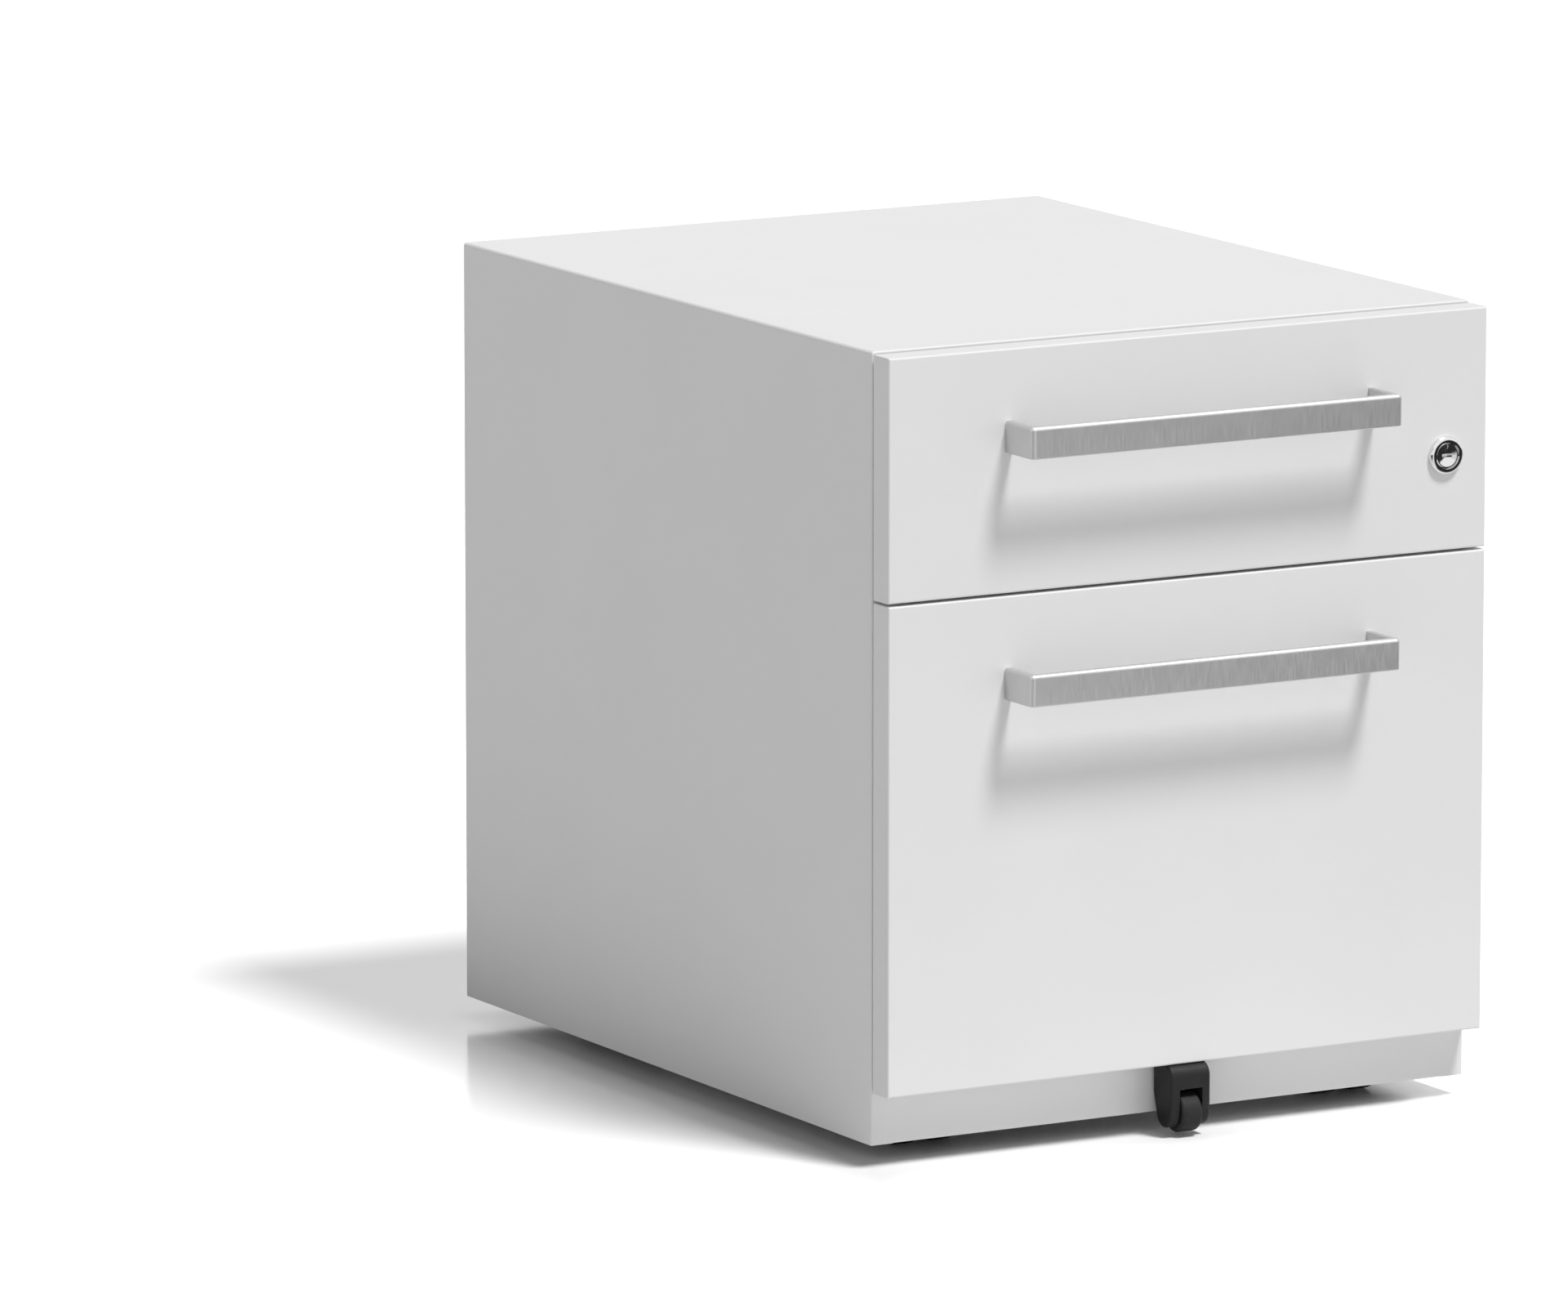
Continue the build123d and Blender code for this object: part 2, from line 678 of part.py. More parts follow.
upper_holes = stud_holes(upper_handle_z) + [lock_hole]
save(make_front_pan(upper_bottom, upper_top, upper_holes, []), "upper_drawer_front")
save(make_liner(upper_bottom, upper_top, [tail_hole]), "upper_drawer_liner")
save(make_tray(*upper_tray, cut_for_cam=True), "upper_drawer_tray")
save(make_tray_back(*upper_tray), "upper_drawer_back")
save(make_handle(upper_handle_z), "upper_handle")
save(make_handle_nuts(upper_handle_z), "upper_handle_nuts")

lower_holes = stud_holes(lower_handle_z)
save(make_front_pan(lower_bottom, lower_top, lower_holes, fifth_holes), "lower_drawer_front")
save(make_liner(lower_bottom, lower_top, []), "lower_drawer_liner")
save(make_tray(*lower_tray, cut_for_cam=False), "lower_drawer_tray")
save(make_tray_back(*lower_tray), "lower_drawer_back")
save(make_handle(lower_handle_z), "lower_handle")
save(make_handle_nuts(lower_handle_z), "lower_handle_nuts")
for side, sign in sides.items():
    save(make_filing_rail(sign, lower_tray[1]), f"filing_rail_{side}")


# Lock
def make_lock_barrel():
    """Barrel with its ring on the front face, open for the plug."""
    ring = (front_face - LOCK_PROUD, front_face)
    with BuildPart() as barrel:
        rod_y(lock_x, lock_z, LOCK_RING_RADIUS, ring)
        fillet(barrel.edges().group_by(Axis.Y)[0], LOCK_RING_EASE)
        rod_y(lock_x, lock_z, LOCK_BARREL_RADIUS, (front_face, liner_front))
        bore = LOCK_PLUG_RADIUS + RUNNING_CLEARANCE
        rod_y(lock_x, lock_z, bore, (ring[0], liner_front), mode=Mode.SUBTRACT)
    return barrel


def make_lock_nut():
    """Nut on the barrel that clamps the front face."""
    with BuildPart() as nut:
        with BuildSketch(Plane.XZ.offset(-(front_face + SHEET))):
            with Locations((lock_x, lock_z)):
                RegularPolygon(LOCK_NUT_RADIUS, 6)
                Circle(LOCK_BARREL_RADIUS + PRESS_CLEARANCE, mode=Mode.SUBTRACT)
        extrude(amount=-LOCK_NUT_HEIGHT)
    return nut


def make_lock_plug():
    """Plug with a dished face, keyway and index mark, and a tail that carries the cam."""
    face = front_face - LOCK_PROUD + LOCK_PLUG_RECESS
    cam_back = cam_front + CAM_SHEET
    keyway_x = (lock_x - KEYWAY_WIDTH / 2, lock_x + KEYWAY_WIDTH / 2)
    keyway_z = (lock_z - KEYWAY_HEIGHT / 2, lock_z + KEYWAY_HEIGHT / 2)
    index_x = (lock_x - INDEX_SIZE / 4, lock_x + INDEX_SIZE / 4)
    index_z = (lock_z + INDEX_RADIUS - INDEX_SIZE / 2, lock_z + INDEX_RADIUS + INDEX_SIZE / 2)
    with BuildPart() as plug:
        rod_y(lock_x, lock_z, LOCK_PLUG_RADIUS, (face, liner_front))
        chamfer(plug.edges().group_by(Axis.Y)[0], LOCK_PLUG_EASE)
        with Locations((lock_x, face + LOCK_DISH_DEPTH / 2, lock_z)):
            Cone(0, LOCK_DISH_RADIUS, LOCK_DISH_DEPTH, rotation=(90, 0, 0), mode=Mode.SUBTRACT)
        rod_y(lock_x, lock_z, LOCK_TAIL_RADIUS, (liner_front, cam_back + LOCK_TAIL_HEAD))
        rod_y(lock_x, lock_z, LOCK_TAIL_HEAD_RADIUS, (cam_back, cam_back + LOCK_TAIL_HEAD))
        slab(keyway_x, (face, face + KEYWAY_DEPTH), keyway_z, mode=Mode.SUBTRACT)
        slab(index_x, (face, face + INDEX_DEPTH), index_z, mode=Mode.SUBTRACT)
    return plug


def make_lock_cam():
    """Cam that points up when open and behind the front return when locked."""
    reach = bar_x - lock_x
    with BuildPart() as cam:
        with BuildSketch(Plane.XZ.offset(-cam_front)):
            with Locations((lock_x, lock_z)):
                Circle(CAM_HUB_RADIUS)
            with Locations((lock_x, lock_z + reach - CAM_TIP_RADIUS)):
                Circle(CAM_TIP_RADIUS)
            make_hull()
            with Locations((lock_x, lock_z)):
                Circle(LOCK_TAIL_RADIUS + PRESS_CLEARANCE, mode=Mode.SUBTRACT)
        extrude(amount=-CAM_SHEET)
    return cam


def make_lock_bar():
    """Bar behind the right front return, with a hook for the lower drawer's catch."""
    wide = (bar_x - LOCK_BAR_WIDTH / 2, bar_x + LOCK_BAR_WIDTH / 2)
    thick = (cam_front, bar_back)
    with BuildPart() as bar:
        slab(wide, thick, (hook_bottom, bar_top))
        slab((tray_half + LOCK_HOOK_CLEARANCE, wide[1]), thick, (hook_bottom, hook_top))
    return bar


def make_lock_guides():
    """Two blocks on the right side that the lock bar slides in."""
    half = LOCK_BAR_WIDTH / 2
    hole_x = (bar_x - half - GUIDE_CLEARANCE, bar_x + half + GUIDE_CLEARANCE)
    hole_y = (cam_front - GUIDE_CLEARANCE, bar_back + GUIDE_CLEARANCE)
    block_x = (hole_x[0] - GUIDE_WALL, inner_half)
    block_y = (carcass_front + SHEET, hole_y[1] + GUIDE_WALL)
    with BuildPart() as guides:
        for low in (hook_top + LOWER_GUIDE_RISE, bar_top - UPPER_GUIDE_DROP):
            z = (low, low + GUIDE_HEIGHT)
            slab(block_x, block_y, z)
            slab(hole_x, hole_y, z, mode=Mode.SUBTRACT)
    return guides


def make_lock_catch():
    """Angle on the lower tray that the lock bar's hook stops."""
    top = hook_bottom - CATCH_CLEARANCE
    z = (top - CATCH_HEIGHT, top)
    front = bar_back + CATCH_CLEARANCE
    with BuildPart() as catch:
        slab((tray_half, tray_half + CATCH_SHEET), (front, front + CATCH_LENGTH), z)
        slab((tray_half, runner_plane - RETURN_CLEARANCE), (front, front + CATCH_SHEET), z)
    return catch


save(make_lock_barrel(), "lock_barrel")
save(make_lock_nut(), "lock_nut")
save(make_lock_plug(), "lock_plug")
save(make_lock_cam(), "lock_cam")
save(make_lock_bar(), "lock_bar")
save(make_lock_guides(), "lock_bar_guides")
save(make_lock_catch(), "lower_lock_catch")


# Casters
def make_caster_plates():
    """Four plates under the base panel, each with a headed swivel pin."""
    half = CASTER_PLATE_SIZE / 2
    with BuildPart() as plates:
        for x, y in caster_axes():
            slab((x - half, x + half), (y - half, y + half), (plate_bottom, base_bottom))
            rod_z(x, y, CASTER_PIN_RADIUS, (pin_head_top, plate_bottom))
            rod_z(x, y, CASTER_PIN_HEAD_RADIUS, (pin_head_top - CASTER_PIN_HEAD, pin_head_top))
            for dx, dy in bolt_offsets():
                radius = CASTER_SCREW_RADIUS + SCREW_CLEARANCE
                rod_z(x + dx, y + dy, radius, (plate_bottom, base_bottom), mode=Mode.SUBTRACT)
    return plates


def make_caster_screws():
    """Four screws for each caster plate."""
    with BuildPart() as screws:
        for x, y in caster_axes():
            for dx, dy in bolt_offsets():
                head = (plate_bottom - CASTER_SCREW_HEAD, plate_bottom)
                rod_z(x + dx, y + dy, CASTER_SCREW_HEAD_RADIUS, head)
                shank = (plate_bottom, base_top + CASTER_SCREW_TAIL)
                rod_z(x + dx, y + dy, CASTER_SCREW_RADIUS, shank)
    return screws


def make_caster_housing(x, y):
    """Hub on the swivel pin, web between the wheels and hood over them."""
    axle_y = y - CASTER_TRAIL
    axle_z = CASTER_RADIUS
    hood_inner = CASTER_RADIUS + CASTER_HOOD_GAP
    hood_outer = hood_inner + CASTER_HOOD_WALL
    web = (x - wheel_inner + CASTER_WEB_GAP, x + wheel_inner - CASTER_WEB_GAP)
    pin_room = CASTER_PIN_HEAD_RADIUS + CASTER_HUB_GAP
    with BuildPart() as housing:
        with BuildSketch(Plane.YZ.offset(x - wheel_outer)):
            with Locations((axle_y, axle_z)):
                Circle(hood_outer)
                Circle(hood_inner, mode=Mode.SUBTRACT)
            with Locations((axle_y, axle_z - hood_outer / 2 + CASTER_BOSS_RADIUS / 2)):
                Rectangle(2 * hood_outer, hood_outer + CASTER_BOSS_RADIUS, mode=Mode.SUBTRACT)
        extrude(amount=2 * wheel_outer)
        with BuildSketch(Plane.YZ.offset(web[0])):
            with Locations((axle_y, axle_z)):
                Circle(hood_inner)
            with Locations((axle_y, axle_z - hood_inner / 2)):
                Rectangle(2 * hood_inner, hood_inner, mode=Mode.SUBTRACT)
            with Locations((axle_y, axle_z)):
                Circle(CASTER_BOSS_RADIUS)
        extrude(amount=web[1] - web[0])
        rod_z(x, y, CASTER_HUB_RADIUS, (hub_bottom, hub_top))
        rod_z(x, y, CASTER_HUB_RADIUS, (axle_z + hood_inner / 2, hub_bottom))
        for low, high in ((x - wheel_outer, web[0]), (web[1], x + wheel_outer)):
            rod_x(axle_y, axle_z, hood_inner, (low, high), mode=Mode.SUBTRACT)
        pin_bore = CASTER_PIN_RADIUS + RUNNING_CLEARANCE
        rod_z(x, y, pin_bore, (hub_bottom, hub_top), mode=Mode.SUBTRACT)
        pocket_bottom = pin_head_top - CASTER_PIN_HEAD - CASTER_HUB_GAP
        rod_z(x, y, pin_room, (pocket_bottom, hub_bottom), mode=Mode.SUBTRACT)
        axle_bore = CASTER_AXLE_RADIUS + RUNNING_CLEARANCE
        rod_x(axle_y, axle_z, axle_bore, web, mode=Mode.SUBTRACT)
    return housing


def make_caster_wheels(x, y):
    """Two wheels pressed on one axle."""
    axle_y = y - CASTER_TRAIL
    with BuildPart() as wheels:
        for sign in sides.values():
            inner = x + sign * wheel_inner
            outer = x + sign * wheel_outer
            rod_x(axle_y, CASTER_RADIUS, CASTER_RADIUS, (inner, outer))
        rims = wheels.edges().filter_by(GeomType.CIRCLE)
        fillet(rims, CASTER_TREAD_EASE)
        for sign in sides.values():
            outer = x + sign * wheel_outer
            dish = (outer - sign * CASTER_DISH_DEPTH, outer)
            rod_x(axle_y, CASTER_RADIUS, CASTER_DISH_RADIUS, dish, mode=Mode.SUBTRACT)
            rod_x(axle_y, CASTER_RADIUS, CASTER_CAP_RADIUS, dish)
            bore = (x + sign * wheel_inner, outer - sign * CASTER_DISH_DEPTH)
            bore_radius = CASTER_AXLE_RADIUS + PRESS_CLEARANCE
            rod_x(axle_y, CASTER_RADIUS, bore_radius, bore, mode=Mode.SUBTRACT)
        axle_end = wheel_outer - CASTER_DISH_DEPTH - CASTER_HUB_GAP
        rod_x(axle_y, CASTER_RADIUS, CASTER_AXLE_RADIUS, (x - axle_end, x + axle_end))
    return wheels


save(make_caster_plates(), "caster_plates")
save(make_caster_screws(), "caster_screws")
for row, y in caster_rows.items():
    for side, sign in sides.items():
        save(make_caster_housing(sign * caster_x, y), f"caster_housing_{row}_{side}")
        save(make_caster_wheels(sign * caster_x, y), f"caster_wheels_{row}_{side}")


# Fifth wheel, which stops the cabinet tipping when the lower drawer is out
def make_fifth_housing():
    """Housing under the lower drawer front, with a slot for the wheel."""
    half = FIFTH_HOUSING_WIDTH / 2
    front = front_face - FIFTH_HOUSING_PROUD
    back = carcass_front - FIFTH_HOUSING_BACK_GAP
    slot = (-FIFTH_SLOT / 2, FIFTH_SLOT / 2)
    with BuildPart() as housing:
        with BuildSketch(Plane.YZ.offset(-half)):
            with Locations(((front + back) / 2, (FIFTH_HOUSING_SHOULDER + lower_bottom) / 2)):
                Rectangle(back - front, lower_bottom - FIFTH_HOUSING_SHOULDER)
            with Locations((fifth_y, fifth_z)):
                Circle(FIFTH_CHEEK_RADIUS)
            make_hull()
        extrude(amount=2 * half)
        crown = housing.edges().filter_by(Axis.X).group_by(Axis.Z)[-1].sort_by(Axis.Y)[0]
        fillet(crown, FIFTH_CROWN)
        cheeks = housing.faces().filter_by(Axis.X).edges()
        fillet(cheeks.filter_by(lambda edge: edge.center().Y < fifth_y), FIFTH_SIDE_EASE)
        slab(slot, (front, back), (0, fifth_slot_top), mode=Mode.SUBTRACT)
        axle_hole = FIFTH_AXLE_RADIUS + PRESS_CLEARANCE
        rod_x(fifth_y, fifth_z, axle_hole, (-half, half), mode=Mode.SUBTRACT)
        for x, y in fifth_screw_places():
            depth = (lower_bottom - FIFTH_SCREW_DEPTH, lower_bottom)
            rod_z(x, y, FIFTH_SCREW_RADIUS + PRESS_CLEARANCE, depth, mode=Mode.SUBTRACT)
    return housing


def make_fifth_wheel():
    """Wheel on the fifth wheel axle."""
    half = FIFTH_WIDTH / 2
    with BuildPart() as wheel:
        rod_x(fifth_y, fifth_z, FIFTH_RADIUS, (-half, half))
        fillet(wheel.edges().filter_by(GeomType.CIRCLE), FIFTH_TREAD_EASE)
        bore = FIFTH_AXLE_RADIUS + RUNNING_CLEARANCE
        rod_x(fifth_y, fifth_z, bore, (-half, half), mode=Mode.SUBTRACT)
    return wheel


def make_fifth_axle():
    """Pin across the housing's cheeks."""
    half = FIFTH_HOUSING_WIDTH / 2
    with BuildPart() as axle:
        rod_x(fifth_y, fifth_z, FIFTH_AXLE_RADIUS, (-half, half))
    return axle


def make_fifth_screws():
    """Screws through the floor of the lower front into the housing."""
    seat = lower_bottom + SHEET
    with BuildPart() as screws:
        for x, y in fifth_screw_places():
            rod_z(x, y, FIFTH_SCREW_HEAD_RADIUS, (seat, seat + FIFTH_SCREW_HEAD))
            rod_z(x, y, FIFTH_SCREW_RADIUS, (lower_bottom - FIFTH_SCREW_DEPTH, seat))
    return screws


save(make_fifth_housing(), "fifth_wheel_housing")
save(make_fifth_wheel(), "fifth_wheel")
save(make_fifth_axle(), "fifth_wheel_axle")
save(make_fifth_screws(), "fifth_wheel_screws")
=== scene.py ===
import json
from math import radians

import bpy
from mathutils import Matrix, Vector


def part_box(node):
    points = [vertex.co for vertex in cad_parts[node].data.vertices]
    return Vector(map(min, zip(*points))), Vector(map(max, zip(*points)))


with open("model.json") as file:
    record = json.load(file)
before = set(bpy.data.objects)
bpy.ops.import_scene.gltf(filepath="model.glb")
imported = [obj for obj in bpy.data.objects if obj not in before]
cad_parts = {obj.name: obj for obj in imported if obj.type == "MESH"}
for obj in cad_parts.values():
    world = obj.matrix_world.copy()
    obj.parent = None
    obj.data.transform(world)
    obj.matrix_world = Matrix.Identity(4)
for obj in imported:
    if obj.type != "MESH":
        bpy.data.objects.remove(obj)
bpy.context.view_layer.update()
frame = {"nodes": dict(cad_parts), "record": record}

# The looks of the filing cabinet: finishes, studio light, floor and camera.
# Metres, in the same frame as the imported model.

MILLIMETRE = 0.001
WHITE = (1.0, 1.0, 1.0, 1.0)

# Camera, at the photograph's viewing angle
IMAGE_WIDTH = 1920
SENSOR_WIDTH = 36.0
FOCAL_PIXELS = 16080.0
CAMERA_YAW = radians(29.558)
CAMERA_PITCH = radians(10.157)
CAMERA_PLACE = Vector((-4.0558, -6.9059, 1.6933))
CAMERA_REACH = 200.0

# Light: one key, and a sky that fades from the horizon to the zenith and is stronger in front
KEY_FROM = Vector((0.174, -0.430, 0.886))
KEY_STRENGTH = 2.4
KEY_SOFTNESS = radians(13)
SKY_HORIZON = 0.5
SKY_ZENITH = 0.0
SKY_FRONT = 0.14
SKY_SEEN = 1.0

# Floor: how much light it throws back, how pale the camera sees it, and its gloss
FLOOR_SIZE = 60.0
FLOOR_ALBEDO = 0.75
FLOOR_SEEN = 1.7
FLOOR_GLOSS = 0.42
FLOOR_ROUGHNESS = 0.14

# Painted reflection, which only metal and other glossy rays see: pale near the cabinet, dark
# farther in front, with a pale strip
PAINTED_REFLECTION_PALE = 0.9
PAINTED_REFLECTION_DARK = 0.03
PAINTED_DARK_FROM = -0.55
PAINTED_DARK_FULL = -0.9
PAINTED_STRIP_RIGHT = 0.3
PAINTED_STRIP_LEFT = 0.5
PAINTED_STRIP_SOFTNESS = 0.06

# Noise stays mostly between these values, so ranges are spread over them
NOISE_LOW = 0.3
NOISE_HIGH = 0.7


def grey(level):
    """A neutral colour."""
    return (level, level, level)


class Material:
    """A node material with a Principled shader, and short calls that add and join nodes."""

    def __init__(self, name, colour, roughness, metallic=0.0):
        self.material = bpy.data.materials.new(name)
        self.material.use_nodes = True
        self.tree = self.material.node_tree
        self.shader = self.tree.nodes["Principled BSDF"]
        self.shader.inputs["Base Color"].default_value = (*colour, 1.0)
        self.shader.inputs["Roughness"].default_value = roughness
        self.shader.inputs["Metallic"].default_value = metallic
        self.place = self.node("ShaderNodeTexCoord").outputs["Object"]

    def node(self, kind, **settings):
        """A new node with these settings."""
        made = self.tree.nodes.new(kind)
        for key, value in settings.items():
            setattr(made, key, value)
        return made

    def join(self, output, target):
        """A link from an output to an input."""
        self.tree.links.new(output, target)

    def stretched(self, scale):
        """Object coordinates, scaled along each axis."""
        mapping = self.node("ShaderNodeMapping")
        mapping.inputs["Scale"].default_value = scale
        self.join(self.place, mapping.inputs["Vector"])
        return mapping.outputs["Vector"]

    def noise(self, size, detail, vector=None):
        """Noise whose grains are about that size."""
        made = self.node("ShaderNodeTexNoise")
        made.inputs["Scale"].default_value = 1.0 / size
        made.inputs["Detail"].default_value = detail
        self.join(vector or self.place, made.inputs["Vector"])
        return made.outputs["Fac"]

    def tint(self, value, low, high):
        """Base colour that runs between two colours with a noise value."""
        ramp = self.node("ShaderNodeValToRGB")
        ramp.color_ramp.elements[0].position = NOISE_LOW
        ramp.color_ramp.elements[1].position = NOISE_HIGH
        ramp.color_ramp.elements[0].color = (*low, 1.0)
        ramp.color_ramp.elements[1].color = (*high, 1.0)
        self.join(value, ramp.inputs["Fac"])
        self.join(ramp.outputs["Color"], self.shader.inputs["Base Color"])

    def rough(self, value, low, high):
        """Roughness that runs between two values with a noise value."""
        made = self.node("ShaderNodeMapRange")
        made.inputs["From Min"].default_value = NOISE_LOW
        made.inputs["From Max"].default_value = NOISE_HIGH
        made.inputs["To Min"].default_value = low
        made.inputs["To Max"].default_value = high
        self.join(value, made.inputs["Value"])
        self.join(made.outputs["Result"], self.shader.inputs["Roughness"])

    def bump(self, *layers):
        """Bump layers, each a height value and its depth."""
        normal = None
        for height, depth in layers:
            made = self.node("ShaderNodeBump")
            made.inputs["Strength"].default_value = 1.0
            made.inputs["Distance"].default_value = depth
            self.join(height, made.inputs["Height"])
            if normal:
                self.join(normal, made.inputs["Normal"])
            normal = made.outputs["Normal"]
        self.join(normal, self.shader.inputs["Normal"])


def white_coat():
    """Fine satin powder coat, a little uneven in gloss, with the grain of baked powder."""
    cloud_size = 90 * MILLIMETRE
    peel_size = 3.2 * MILLIMETRE
    grain_size = 1.1 * MILLIMETRE
    peel_depth = 0.02 * MILLIMETRE
    grain_depth = 0.012 * MILLIMETRE
    coat = Material("white_coat", grey(0.86), roughness=0.45)
    cloud = coat.noise(cloud_size, detail=4.0)
    grain = coat.noise(grain_size, detail=2.0)
    peel = coat.noise(peel_size, detail=2.0)
    coat.tint(cloud, grey(0.852), grey(0.868))
    coat.rough(peel, 0.40, 0.50)
    coat.bump((peel, peel_depth), (grain, grain_depth))
    coat.shader.inputs["Specular IOR Level"].default_value = 0.8
    return coat.material


def handle_metal():
    """Satin metal, brushed across the bar."""
    stroke_width = 0.35 * MILLIMETRE
    stroke_stretch = (1.0, 1.0, 0.03)
    stroke_depth = 0.006 * MILLIMETRE
    cloud_size = 30 * MILLIMETRE
    metal = Material("handle_metal", grey(0.62), roughness=0.45, metallic=1.0)
    strokes = metal.noise(stroke_width, detail=3.0, vector=metal.stretched(stroke_stretch))
    cloud = metal.noise(cloud_size, detail=3.0)
    metal.tint(cloud, grey(0.60), grey(0.64))
    metal.rough(strokes, 0.38, 0.52)
    metal.bump((strokes, stroke_depth))
    return metal.material


def lock_chrome(axis_x, axis_z):
    """Polished plate, turned in fine rings about the lock's axis."""
    ring_width = 0.25 * MILLIMETRE
    ring_depth = 0.004 * MILLIMETRE
    speck_size = 2 * MILLIMETRE
    chrome = Material("lock_chrome", grey(0.8), roughness=0.08, metallic=1.0)
    centred = chrome.node("ShaderNodeVectorMath", operation="SUBTRACT")
    centred.inputs[1].default_value = (axis_x, 0.0, axis_z)
    chrome.join(chrome.place, centred.inputs[0])
    flat = chrome.node("ShaderNodeVectorMath", operation="MULTIPLY")
    flat.inputs[1].default_value = (1.0, 0.0, 1.0)
    chrome.join(centred.outputs["Vector"], flat.inputs[0])
    radius = chrome.node("ShaderNodeVectorMath", operation="LENGTH")
    chrome.join(flat.outputs["Vector"], radius.inputs[0])
    rings = chrome.node("ShaderNodeTexNoise", noise_dimensions="1D")
    rings.inputs["Scale"].default_value = 1.0 / ring_width
    rings.inputs["Detail"].default_value = 2.0
    chrome.join(radius.outputs["Value"], rings.inputs["W"])
    specks = chrome.noise(speck_size, detail=3.0)
    chrome.tint(specks, (0.77, 0.77, 0.775), (0.83, 0.83, 0.835))
    chrome.rough(specks, 0.05, 0.11)
    chrome.bump((rings.outputs["Fac"], ring_depth))
    return chrome.material


def zinc_steel():
    """Bright zinc plate with faint clouding and rolling marks."""
    cloud_size = 12 * MILLIMETRE
    mark_width = 0.6 * MILLIMETRE
    mark_stretch = (1.0, 0.03, 1.0)
    mark_depth = 0.008 * MILLIMETRE
    zinc = Material("zinc_steel", (0.58, 0.59, 0.61), roughness=0.35, metallic=1.0)
    cloud = zinc.noise(cloud_size, detail=4.0)
    marks = zinc.noise(mark_width, detail=2.0, vector=zinc.stretched(mark_stretch))
    zinc.tint(cloud, (0.53, 0.54, 0.56), (0.62, 0.63, 0.65))
    zinc.rough(cloud, 0.28, 0.42)
    zinc.bump((marks, mark_depth))
    return zinc.material


def black_plastic():
    """Moulded plastic with a fine spark-eroded texture."""
    grain_size = 0.7 * MILLIMETRE
    grain_depth = 0.03 * MILLIMETRE
    cloud_size = 15 * MILLIMETRE
    plastic = Material("black_plastic", grey(0.01), roughness=0.5)
    grain = plastic.noise(grain_size, detail=2.0)
    cloud = plastic.noise(cloud_size, detail=3.0)
    plastic.tint(cloud, grey(0.008), grey(0.013))
    plastic.rough(grain, 0.42, 0.6)
    plastic.bump((grain, grain_depth))
    plastic.shader.inputs["Specular IOR Level"].default_value = 0.3
    return plastic.material


def wheel_tread():
    """Hard wheel plastic, dulled and scuffed round the tread."""
    dust_size = 4 * MILLIMETRE
    scuff_width = 0.9 * MILLIMETRE
    scuff_stretch = (0.15, 1.0, 1.0)
    scuff_depth = 0.03 * MILLIMETRE
    tread = Material("wheel_tread", grey(0.015), roughness=0.55)
    dust = tread.noise(dust_size, detail=5.0)
    scuffs = tread.noise(scuff_width, detail=3.0, vector=tread.stretched(scuff_stretch))
    tread.tint(dust, grey(0.010), grey(0.022))
    tread.rough(dust, 0.45, 0.7)
    tread.bump((scuffs, scuff_depth))
    tread.shader.inputs["Specular IOR Level"].default_value = 0.3
    return tread.material


def dress_nodes():
    """Gives every CAD node the finish of its material slot."""
    low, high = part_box("lock_barrel")
    finishes = {
        "white_coat": white_coat(),
        "handle_metal": handle_metal(),
        "lock_chrome": lock_chrome((low.x + high.x) / 2, (low.z + high.z) / 2),
        "zinc_steel": zinc_steel(),
        "black_plastic": black_plastic(),
        "wheel_tread": wheel_tread(),
    }
    for part in frame["record"]["subparts"]:
        node = frame["nodes"][part["node"]]
        node.data.materials.clear()
        node.data.materials.append(finishes[part["material_slot"]])


class Stage:
    """Short calls that add nodes to the tree of the floor or the sky."""

    def __init__(self, tree, coordinate):
        self.tree = tree
        self.path = tree.nodes.new("ShaderNodeLightPath").outputs
        self.place = tree.nodes.new("ShaderNodeTexCoord").outputs[coordinate]

    def ramp(self, value, start, end, low, high):
        """A value that runs from low at start to high at end."""
        made = self.tree.nodes.new("ShaderNodeMapRange")
        made.inputs["From Min"].default_value = start
        made.inputs["From Max"].default_value = end
        made.inputs["To Min"].default_value = low
        made.inputs["To Max"].default_value = high
        self.tree.links.new(value, made.inputs["Value"])
        return made.outputs["Result"]

    def along(self, direction):
        """The coordinate's share along a direction."""
        made = self.tree.nodes.new("ShaderNodeVectorMath")
        made.operation = "DOT_PRODUCT"
        made.inputs[1].default_value = direction
        self.tree.links.new(self.place, made.inputs[0])
        return made.outputs["Value"]

    def of_two(self, operation, first, second):
        """The larger or smaller of two values, or their sum."""
        made = self.tree.nodes.new("ShaderNodeMath")
        made.operation = operation
        self.tree.links.new(first, made.inputs[0])
        self.tree.links.new(second, made.inputs[1])
        return made.outputs["Value"]

    def choose(self, factor, low, high):
        """One of two values or constants, by a factor of 0 or 1."""
        made = self.tree.nodes.new("ShaderNodeMix")
        self.tree.links.new(factor, made.inputs["Factor"])
        for socket, value in ((made.inputs["A"], low), (made.inputs["B"], high)):
            if isinstance(value, float):
                socket.default_value = value
            else:
                self.tree.links.new(value, socket)
        return made.outputs["Result"]

    def by_ray(self, lit, mirrored, seen):
        """What lights the object, or what metal mirrors, or what the camera sees."""
        shiny = self.of_two("MAXIMUM", self.path["Is Glossy Ray"], self.path["Is Transmission Ray"])
        return self.choose(self.path["Is Camera Ray"], self.choose(shiny, lit, mirrored), seen)


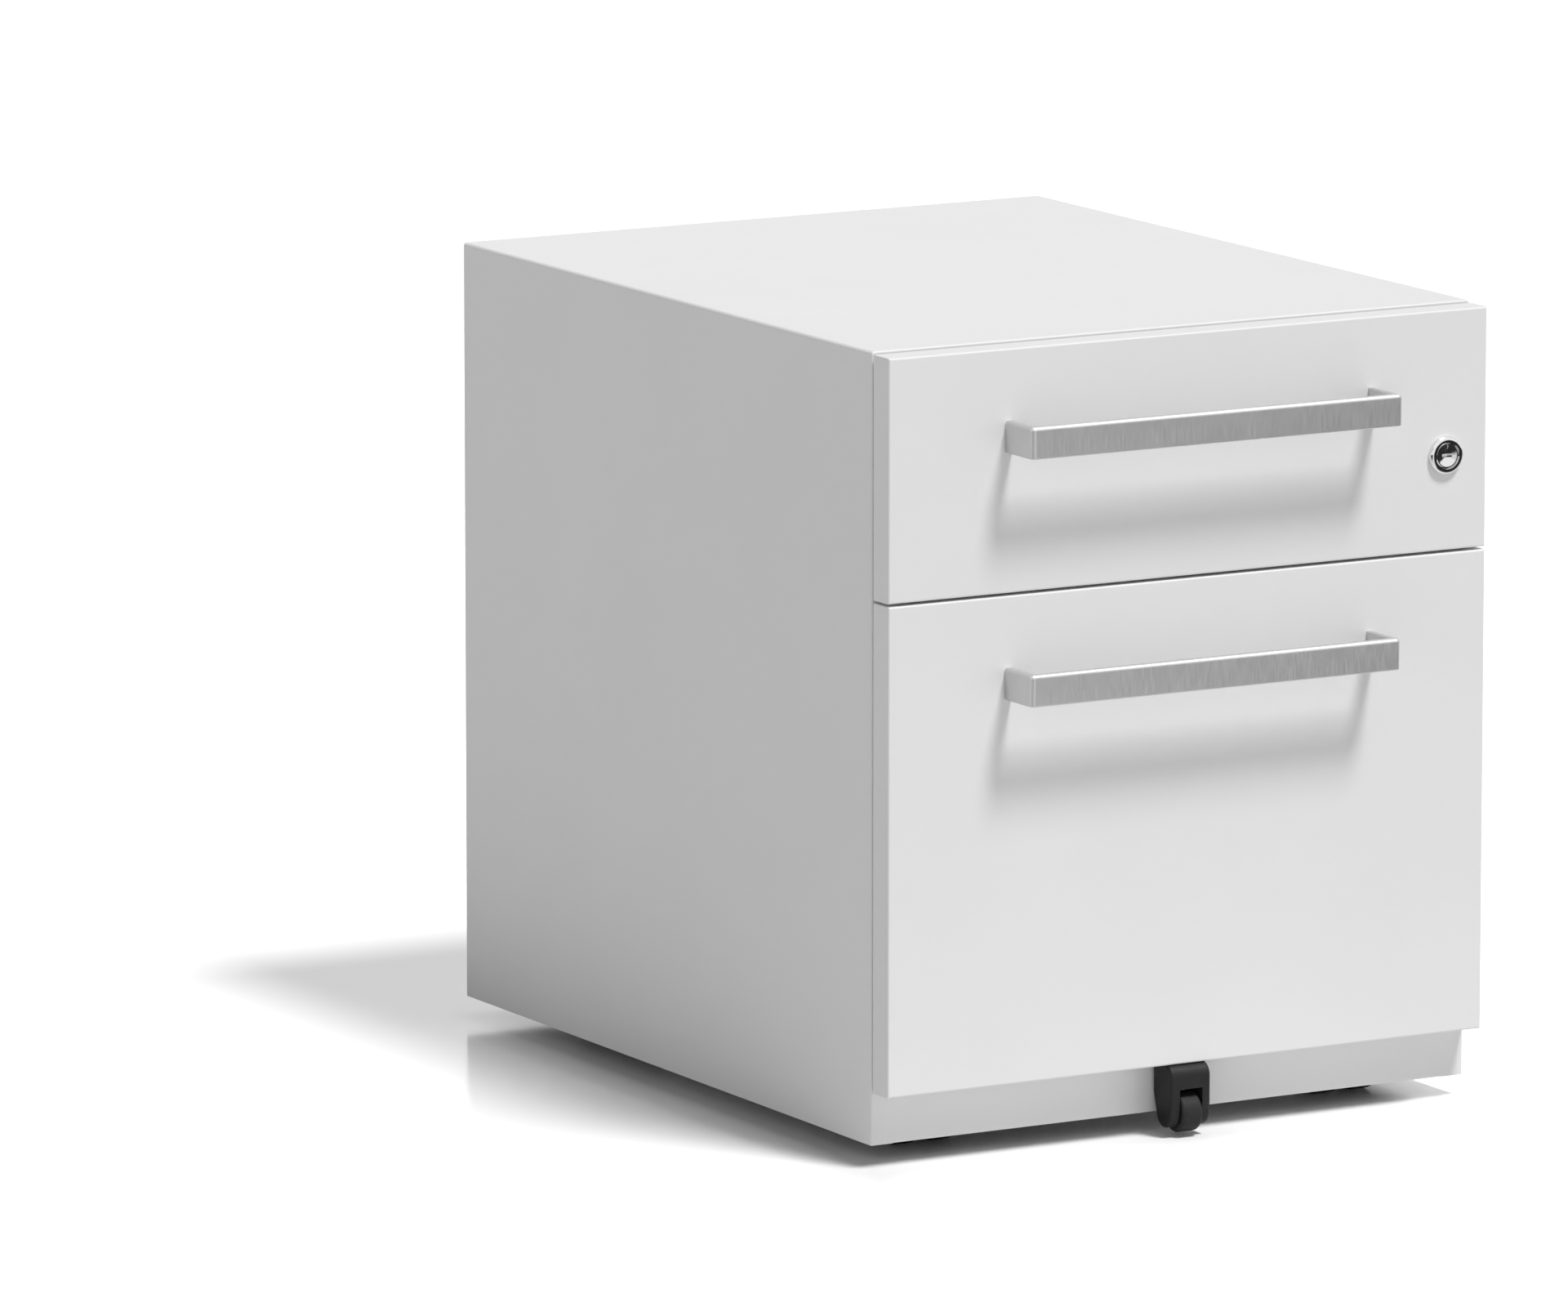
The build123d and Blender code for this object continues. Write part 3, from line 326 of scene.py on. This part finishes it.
def make_floor():
    """Wide pale floor with a faint gloss, which reads as white and keeps the shadow."""
    half = FLOOR_SIZE / 2
    corners = [(-half, -half, 0), (half, -half, 0), (half, half, 0), (-half, half, 0)]
    mesh = bpy.data.meshes.new("floor")
    mesh.from_pydata(corners, [], [(0, 1, 2, 3)])
    floor = bpy.data.objects.new("floor", mesh)
    bpy.context.scene.collection.objects.link(floor)
    material = bpy.data.materials.new("floor")
    material.use_nodes = True
    tree = material.node_tree
    tree.nodes.clear()
    stage = Stage(tree, "Object")
    matt = tree.nodes.new("ShaderNodeBsdfDiffuse")
    gloss = tree.nodes.new("ShaderNodeBsdfGlossy")
    gloss.inputs["Color"].default_value = WHITE
    gloss.inputs["Roughness"].default_value = FLOOR_ROUGHNESS
    # The floor's colour by ray: pale where it throws light back, a painted reflection where metal
    # mirrors it, and pale to the camera.
    paleness = stage.by_ray(FLOOR_ALBEDO, painted_floor_reflection(stage), FLOOR_SEEN)
    tree.links.new(paleness, matt.inputs["Color"])
    mixed = tree.nodes.new("ShaderNodeMixShader")
    tree.links.new(stage.choose(stage.path["Is Camera Ray"], 0.0, FLOOR_GLOSS), mixed.inputs["Fac"])
    tree.links.new(matt.outputs["BSDF"], mixed.inputs[1])
    tree.links.new(gloss.outputs["BSDF"], mixed.inputs[2])
    output = tree.nodes.new("ShaderNodeOutputMaterial")
    tree.links.new(mixed.outputs["Shader"], output.inputs["Surface"])
    mesh.materials.append(material)


def painted_floor_reflection(stage):
    """Painted reflection: the floor's colour for glossy rays only, pale near the cabinet and in a
    strip, dark farther in front.
    """
    dark, pale, soft = PAINTED_REFLECTION_DARK, PAINTED_REFLECTION_PALE, PAINTED_STRIP_SOFTNESS
    near = stage.ramp(stage.along((0.0, 1.0, 0.0)), PAINTED_DARK_FULL, PAINTED_DARK_FROM, dark, pale)
    right = stage.ramp(stage.along((1.0, PAINTED_STRIP_RIGHT, 0.0)), soft, -soft, dark, pale)
    left = stage.ramp(stage.along((1.0, -PAINTED_STRIP_LEFT, 0.0)), -soft, soft, dark, pale)
    strip = stage.of_two("MINIMUM", left, right)
    return stage.of_two("MAXIMUM", near, strip)


def make_sky():
    """Soft light from all round, low and in front; the camera and metal see it as white."""
    world = bpy.data.worlds.new("studio")
    bpy.context.scene.world = world
    world.use_nodes = True
    tree = world.node_tree
    stage = Stage(tree, "Generated")
    height = stage.ramp(stage.along((0.0, 0.0, 1.0)), 0.0, 1.0, SKY_HORIZON, SKY_ZENITH)
    front = stage.ramp(stage.along((0.0, 1.0, 0.0)), 0.0, -1.0, 0.0, SKY_FRONT)
    level = stage.by_ray(stage.of_two("ADD", height, front), SKY_SEEN, SKY_SEEN)
    background = tree.nodes["Background"]
    background.inputs["Color"].default_value = WHITE
    tree.links.new(level, background.inputs["Strength"])


def make_key():
    """One soft key from the front, above and a little to the right."""
    lamp = bpy.data.lights.new("key", "SUN")
    lamp.energy = KEY_STRENGTH
    lamp.angle = KEY_SOFTNESS
    key = bpy.data.objects.new("key", lamp)
    key.rotation_euler = KEY_FROM.to_track_quat("Z", "Y").to_euler()
    bpy.context.scene.collection.objects.link(key)


def make_camera():
    """Camera at the photograph's viewing angle."""
    lens = bpy.data.cameras.new("camera")
    lens.sensor_width = SENSOR_WIDTH
    lens.sensor_fit = "HORIZONTAL"
    lens.lens = FOCAL_PIXELS * SENSOR_WIDTH / IMAGE_WIDTH
    lens.clip_end = CAMERA_REACH
    camera = bpy.data.objects.new("camera", lens)
    camera.location = CAMERA_PLACE
    camera.rotation_euler = (radians(90) - CAMERA_PITCH, 0.0, -CAMERA_YAW)
    bpy.context.scene.collection.objects.link(camera)
    bpy.context.scene.camera = camera


dress_nodes()
make_floor()
make_sky()
make_key()
make_camera()
bpy.context.scene.view_settings.view_transform = "Standard"
